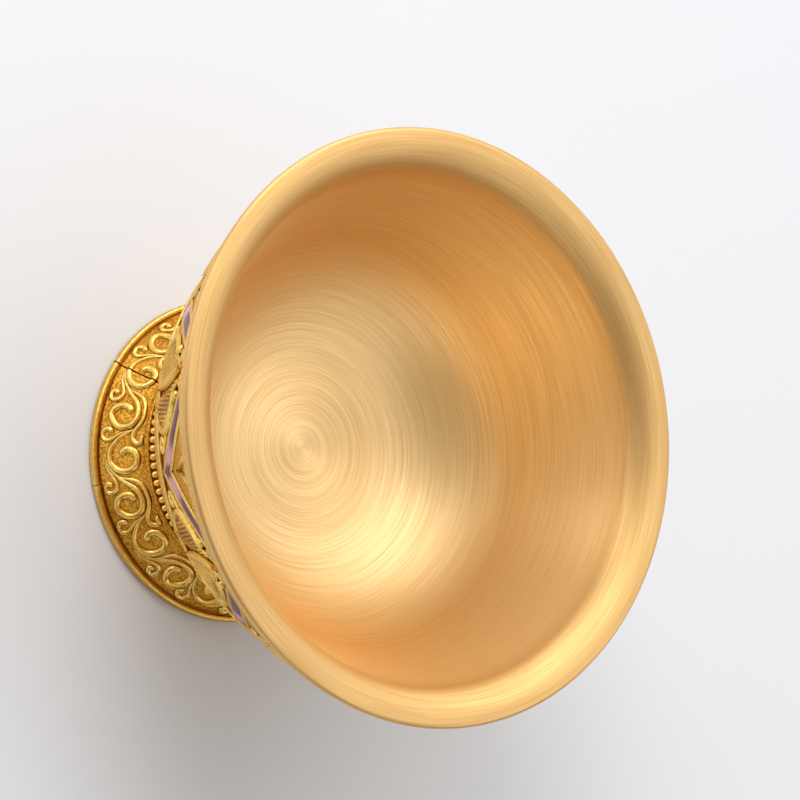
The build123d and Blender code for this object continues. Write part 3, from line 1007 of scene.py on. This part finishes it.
class OFFERING_OT_petals(PieceOperator, bpy.types.Operator):
    """Lay the lotus petals between the chevrons: rib, feathered side petals, curls and pearls"""

    bl_idname = "offering.petals"
    bl_label = "Lotus petals"

    def execute(self, context):
        s = context.scene.relief_sizes
        cone = sheath_cone(context)
        top = panel_slant(context)
        azimuth = s.panel_azimuth + math.pi / s.panels

        def rib(along, across):
            """Point of the domed rib."""
            side = 2 * across - 1
            wide = max(leaf_width(along, *RIB_LEAF), RIB_END) * s.rib_width / 2
            above = s.petal_height * (0.15 + 0.95 * math.sqrt(max(0, 1 - side**2)))
            slant = PANEL_MARGIN + (top - 2 * PANEL_MARGIN) * along
            return cone.beside(side * wide, slant, above, azimuth)

        relief(context, [sheet(48, 10, rib, RELIEF_BACK)], "petal_spines", "petal_ribs", s.panels)

        feathers = []
        for hand in (1, -1):

            def petal(along, across, hand=hand):
                """Point of a side petal: flutes inside a rolled border, lower where it is narrow."""
                slant = PANEL_MARGIN + s.petal_length * along
                leaf = leaf_width(PETAL_CUT + (1 - PETAL_CUT) * along, *PETAL_LEAF)
                wide = s.petal_width * max(PETAL_END, leaf)
                offset = s.petal_offset + wide * across
                barb = 0.5 + 0.5 * math.cos(2 * math.pi * (offset - s.barb_lean * slant) / s.barb_pitch)
                field = min(1, across / s.petal_field)
                dome = 1 - (2 * field - 1) ** 2
                roll = (2 * across - s.petal_field - 1) / (1 - s.petal_field)
                border = 0.8 * math.sqrt(max(0, 1 - roll**2))
                swell = min(1, wide / (0.4 * s.petal_width))
                above = 0.08 + swell * max(border, 0.42 * math.sqrt(dome) + 0.5 * barb * dome)
                return cone.beside(hand * offset, slant, s.petal_height * above, azimuth)

            feathers.append(sheet(28, 52, petal, RELIEF_BACK))
        relief(context, feathers, "feathered_petals", "side_petals", s.panels)

        lines = []
        for hand in (1, -1):
            for drawn in (PETAL_CURL, RIM_CURL):
                points = []
                for across, slant in drawn:
                    radius = cone.foot.x + cone.along.x * slant * MM
                    points.append((azimuth + hand * math.asin(across * MM / radius), slant * MM))
                lines.append(stroke(cone, points, width=0.85 * MM, thin=0.4, full=0.6, tip=0.9, sink=0.1))
        relief(context, [bars(lines)], "petal_tendrils", "petal_curls", s.panels)

        pearls = []
        for hand in (1, -1):
            for drop in PEARL_DROPS:
                ball(s.pearl_diameter / 2, cone.beside(hand * PEARL_OFFSET, top - drop, PEARL_LIFT, azimuth))
                bpy.ops.object.mode_set(mode="OBJECT")
                pearls.append(bpy.context.object)
        relief(context, pearls, "pearls", "petal_pearls", s.panels, 60)
        return {"FINISHED"}


# Pearls by the petals: distance from the rib, height of the middle, and distances from the panel's top
PEARL_OFFSET = 3.4 * MM
PEARL_LIFT = 0.05 * MM
PEARL_DROPS = (4.4 * MM, 6.1 * MM)

# Curls by the petals, as (distance from the rib, slant height) in millimetres
PETAL_CURL = (
    (4.7, 11.8), (5.4, 9.8), (6.2, 7.8), (7.2, 5.7), (8.4, 3.9), (9.3, 2.6), (9.2, 1.5), (8.4, 0.95), (7.5, 1.3),
    (7.4, 2.2), (8.1, 2.6),
)
RIM_CURL = (
    (0.8, 13.6), (1.2, 15.0), (1.9, 16.3), (2.5, 17.3), (2.5, 18.3), (1.8, 18.7), (1.2, 18.2), (1.5, 17.5)
)

# Strokes of the vine, as (azimuth from the scroll, height) in degrees and millimetres
EDGE_SCROLL = (
    (-14.0, 6.9), (-12.4, 6.3), (-11.0, 5.3), (-9.2, 4.4), (-7.0, 3.7), (-4.8, 3.15), (-2.4, 2.95), (0.2, 3.05),
    (2.4, 3.5), (3.9, 4.25), (4.4, 5.2), (3.8, 6.1), (2.0, 6.75), (-0.3, 6.95), (-2.6, 6.7), (-4.1, 6.1),
    (-4.4, 5.4), (-3.7, 4.95), (-3.0, 4.83),
)
BEAD_SCROLL = (
    (-18.3, 2.45), (-15.6, 2.85), (-12.6, 3.65), (-10.2, 4.4), (-8.2, 5.2), (-5.9, 6.0), (-3.0, 6.45), (0.1, 6.5),
    (2.6, 6.15), (4.1, 5.5), (4.6, 4.7), (4.1, 3.9), (2.6, 3.2), (0.4, 2.75), (-1.8, 2.85), (-3.5, 3.4),
    (-4.3, 4.2), (-3.9, 5.0), (-2.5, 5.4),
)
EDGE_HOOK = (
    (-18.6, 2.4), (-15.6, 2.5), (-12.8, 2.95), (-10.4, 3.45), (-8.4, 3.6), (-6.8, 3.25), (-6.1, 2.65), (-6.6, 2.1),
    (-7.9, 1.95), (-9.2, 2.05), (-9.7, 2.4), (-9.1, 2.7),
)
EDGE_LOOP = (
    (-12.2, 5.9), (-11.4, 5.0), (-10.2, 4.1), (-8.9, 3.4), (-8.2, 2.75), (-8.6, 2.15), (-9.9, 1.9), (-11.4, 1.95),
    (-12.4, 2.3), (-12.5, 2.8), (-11.9, 3.1),
)
BEAD_DROP = (
    (-32.0, 2.7), (-30.3, 3.6), (-28.9, 4.5), (-28.2, 5.4), (-26.6, 6.5), (-23.2, 7.25), (-18.3, 7.45),
    (-15.2, 7.15), (-12.5, 6.6), (-10.3, 6.3), (-8.5, 6.3), (-7.0, 6.65), (-6.5, 7.1), (-7.2, 7.5), (-9.2, 7.55),
)


class OFFERING_OT_vine(PieceOperator, bpy.types.Operator):
    """Lay the running vine on the foot band and part it at the band's seam"""

    bl_idname = "offering.vine"
    bl_label = "Foot vine"

    def execute(self, context):
        s = context.scene.relief_sizes
        cone = band_cone(context)
        pitch = math.degrees(2 * math.pi / s.scroll_periods)
        for name, node, parts in (
            ("edge_scrolls", "edge_side_scrolls", ((EDGE_SCROLL, 0, 1.0),)),
            ("bead_scrolls", "bead_side_scrolls", ((BEAD_SCROLL, pitch / 2, 1.0),)),
            ("edge_curls", "edge_side_curls", ((EDGE_HOOK, pitch / 2, 0.75), (EDGE_LOOP, 0, 0.75))),
            ("bead_curls", "bead_side_curls", ((BEAD_DROP, 0, 0.75),)),
        ):
            lines = []
            for drawn, shift, weight in parts:
                points = [(math.radians(turn + shift), cone.slant_of(level * MM)) for turn, level in drawn]
                width = s.scroll_width * weight
                lines.append(stroke(cone, points, width, thin=0.32, full=0.6, tip=1.08, sink=0.2))
            piece = around([bars(lines)], name, s.scroll_periods)
            cut(piece, seam_blade(context))
            settle(piece, finish(context, "relief gold"), "relief_gold", node)
        return {"FINISHED"}


# Stud: length below the nut, plain tip, depth of its thread, and where in a pitch the crest starts and ends
STUD_TAIL = 0.8 * MM
STUD_TIP = 0.2 * MM
THREAD_DEPTH = 0.35 * MM
THREAD_CREST = (0.4, 0.5)
# Nut: room in its bore, and how far its chamfer cuts in from the flats and up from below
NUT_ROOM = 0.05 * MM
CHAMFER = (0.1 * MM, 0.9 * MM)
# Sides of the stud and of the washer, and the angle in degrees up to which the small pieces are smooth
STUD_SIDES, WASHER_SIDES, SMALL_SMOOTH = 64, 96, 20


class OFFERING_OT_fastening(PieceOperator, bpy.types.Operator):
    """Model the stud, washer and nut inside the foot"""

    bl_idname = "offering.fastening"
    bl_label = "Fastening"

    def execute(self, context):
        s = context.scene.foot_sizes
        z = levels(context)
        nut_top = z["plate_under"] - s.washer_thickness
        nut_foot = nut_top - s.nut_height
        stud_foot = nut_foot - STUD_TAIL
        flange = z["under"] - FLANGE[1]
        outer = s.stud_diameter / 2
        root = outer - THREAD_DEPTH
        outline = [(0, stud_foot), (root, stud_foot)]
        level = stud_foot + STUD_TIP
        while level + s.thread_pitch < s.foot_height:
            outline += [(root, level), *((outer, level + share * s.thread_pitch) for share in THREAD_CREST)]
            level += s.thread_pitch
        outline += [(outer, level), (outer, flange), (FLANGE[0], flange), (FLANGE[0], z["under"]), (0, z["under"])]
        turned(outline, STUD_SIDES, closed=False)
        settle(end_piece("threaded_stud", SMALL_SMOOTH), finish(context, "fastener brass"), "fastener_brass", "stud")

        bore = outer + STUD_ROOM
        washer = [
            (bore, nut_top, 0.1 * MM),
            (s.washer_diameter / 2, nut_top, 0.25 * MM),
            (s.washer_diameter / 2, z["plate_under"], 0.1 * MM),
            (bore, z["plate_under"], 0.1 * MM),
        ]
        outline = rounded(washer, FINE_ROUND)
        lathe(context, "flat_washer", outline, "fastener brass", "fastener_brass", "washer", WASHER_SIDES)

        start_piece()
        corner = s.nut_flats / math.sqrt(3)
        middle = (nut_top + nut_foot) / 2
        bpy.ops.mesh.primitive_cylinder_add(
            vertices=6, radius=corner, depth=s.nut_height, location=(0, 0, middle), rotation=(0, 0, math.pi / 6)
        )
        nut = end_piece("hex_nut", SMALL_SMOOTH)
        hole = outer + NUT_ROOM
        below, above = nut_foot - MM, nut_top + MM
        turned([(0, below), (hole, below), (hole, above), (0, above)], STUD_SIDES)
        cut(nut, end_piece("bore", SMALL_SMOOTH))
        far = corner + MM
        turned([(s.nut_flats / 2 - CHAMFER[0], below), (far, below), (far, nut_foot + CHAMFER[1])], WASHER_SIDES)
        cut(nut, end_piece("chamfer", SMALL_SMOOTH))
        settle(nut, finish(context, "fastener brass"), "fastener_brass", "nut")
        return {"FINISHED"}


# Camera of the photograph in the bowl's own frame: place, and the directions of its right and up
CAMERA_PLACE = Vector((54.05, -445.94, 644.36)) * MM
CAMERA_RIGHT = Vector((0.0667, 0.803, 0.5931))
CAMERA_UP = Vector((-0.9945, 0.007, 0.1032))


# Point that the lamps look at, and each lamp's name, place, width and height, and colour
STAGE_CENTRE = Vector((0, 0, 0.035))
LAMPS = (
    ("key", (-0.7, 0.22, 0.68), (1.1, 1.2), (1.0, 0.98, 0.95)),
    ("side", (-0.66, -0.7, 0.26), (0.4, 0.3), (0.98, 0.98, 1.0)),
    ("fill", (-0.7, -0.3, 0.65), (0.5, 0.5), (0.95, 0.97, 1.0)),
)
# Spans of direction over which the surroundings change: across at the top, across at the horizon, upwards, and
# towards the camera's place
SPAN_HIGH, SPAN_LOW = (-0.6, 0.9), (-0.75, 0.75)
SPAN_RISE, SPAN_BEHIND = (0.05, 0.5), (0.66, 0.97)
# Tone of the dim surroundings, and the span of strength over which it goes to white
WARM_TONE = (1, 0.88, 0.72, 1)
WARM_SPAN = (0.2, 0.9)


def aimed(place):
    """Matrix of a lamp that looks from a place at the stage."""
    turn = (STAGE_CENTRE - place).to_track_quat("-Z", "Y")
    return Matrix.Translation(place) @ turn.to_matrix().to_4x4()


class OFFERING_OT_studio(PieceOperator, bpy.types.Operator):
    """Set the floor, the soft lights, the surroundings and the camera"""

    bl_idname = "offering.studio"
    bl_label = "Studio"

    def execute(self, context):
        s = context.scene.studio
        start_piece()
        bpy.ops.mesh.primitive_plane_add(size=8)
        floor = bpy.context.object
        floor.name = "studio_floor"
        material, tree, shader = plain_material("studio floor", {"Roughness": 0.85})
        pale = context.scene.finishes.floor
        cloud = noise(tree, places(tree), 3.0, 2.0)
        hue = tint(tree, cloud, shade(pale, (0.99,) * 3), shade(pale, (1.01,) * 3))
        tree.links.new(hue, shader.inputs["Base Color"])
        floor.data.materials.append(material)

        for (name, place, size, tone), power in zip(LAMPS, (s.key_power, s.side_power, s.fill_power)):
            bpy.ops.object.light_add(type="AREA")
            lamp = bpy.context.object
            lamp.name = name
            lamp.data.shape = "RECTANGLE"
            lamp.data.size, lamp.data.size_y = size
            lamp.data.energy = power
            lamp.data.color = tone
            lamp.visible_glossy = name != "fill"
            lamp.matrix_world = aimed(Vector(place))

        world = bpy.data.worlds.new("studio surroundings")
        context.scene.world = world
        world.use_nodes = True
        tree = world.node_tree
        tree.nodes.clear()
        aim = places(tree, "Generated")
        sideways, _, upward = split(tree, aim)
        high = run(tree, sideways, SPAN_HIGH, (s.world_bright, s.world_dim))
        low = run(tree, sideways, SPAN_LOW, (s.world_bright, s.world_low))
        share = run(tree, upward, SPAN_RISE)
        level = maths(tree, "ADD", low, maths(tree, "MULTIPLY", share, maths(tree, "SUBTRACT", high, low)))
        behind = (CAMERA_PLACE - STAGE_CENTRE).normalized()
        near = add_node(tree, "VectorMath", {0: aim, 1: behind}, operation="DOT_PRODUCT").outputs["Value"]
        level = maths(tree, "MULTIPLY", level, run(tree, near, SPAN_BEHIND, (1.0, s.world_behind)))
        warm = tint(tree, run(tree, level, WARM_SPAN), WARM_TONE, (1, 1, 1, 1))
        light = add_node(tree, "Background", {"Color": warm, "Strength": level})
        add_node(tree, "OutputWorld", {"Surface": light.outputs[0]})

        bpy.ops.object.camera_add()
        camera = bpy.context.object
        camera.name = "photo_camera"
        camera.data.lens = s.lens
        camera.data.sensor_width = 36
        camera.data.clip_start = 0.01
        camera.data.clip_end = 20
        right = CAMERA_RIGHT.normalized()
        back = right.cross(CAMERA_UP).normalized()
        up = back.cross(right)
        turn = Matrix((right, up, back)).transposed().to_4x4()
        camera.matrix_world = Matrix.Translation(CAMERA_PLACE) @ turn
        context.scene.camera = camera
        context.scene.view_settings.view_transform = "Standard"
        return {"FINISHED"}


class OFFERING_PT_sidebar(bpy.types.Panel):
    """Sidebar panel that lists the bowl's pieces"""

    bl_idname = "OFFERING_PT_sidebar"
    bl_label = "Offering bowl"
    bl_space_type = "VIEW_3D"
    bl_region_type = "UI"
    bl_category = "Offering bowl"

    def draw(self, context):
        for operator in OPERATORS:
            self.layout.operator(operator.bl_idname)
        for name, group in GROUPS:
            box = self.layout.box()
            for key in group.__annotations__:
                box.prop(getattr(context.scene, name), key)


OPERATORS = (
    OFFERING_OT_bowl,
    OFFERING_OT_sheath,
    OFFERING_OT_neck,
    OFFERING_OT_foot,
    OFFERING_OT_chevrons,
    OFFERING_OT_petals,
    OFFERING_OT_vine,
    OFFERING_OT_fastening,
    OFFERING_OT_studio,
)


CLASSES = (*(group for _, group in GROUPS), *OPERATORS, OFFERING_PT_sidebar)


def register():
    """Register the classes and hang the settings on the scene."""
    for cls in CLASSES:
        bpy.utils.register_class(cls)
    for name, group in GROUPS:
        setattr(bpy.types.Scene, name, bpy.props.PointerProperty(type=group))


def unregister():
    """Take the settings off the scene and unregister the classes."""
    for name, _ in GROUPS:
        delattr(bpy.types.Scene, name)
    for cls in reversed(CLASSES):
        bpy.utils.unregister_class(cls)


def main():
    """Build every piece and the studio."""
    register()
    bpy.ops.offering.bowl()
    bpy.ops.offering.sheath()
    bpy.ops.offering.neck()
    bpy.ops.offering.foot()
    bpy.ops.offering.chevrons()
    bpy.ops.offering.petals()
    bpy.ops.offering.vine()
    bpy.ops.offering.fastening()
    bpy.ops.offering.studio()


if __name__ == "__main__":
    main()
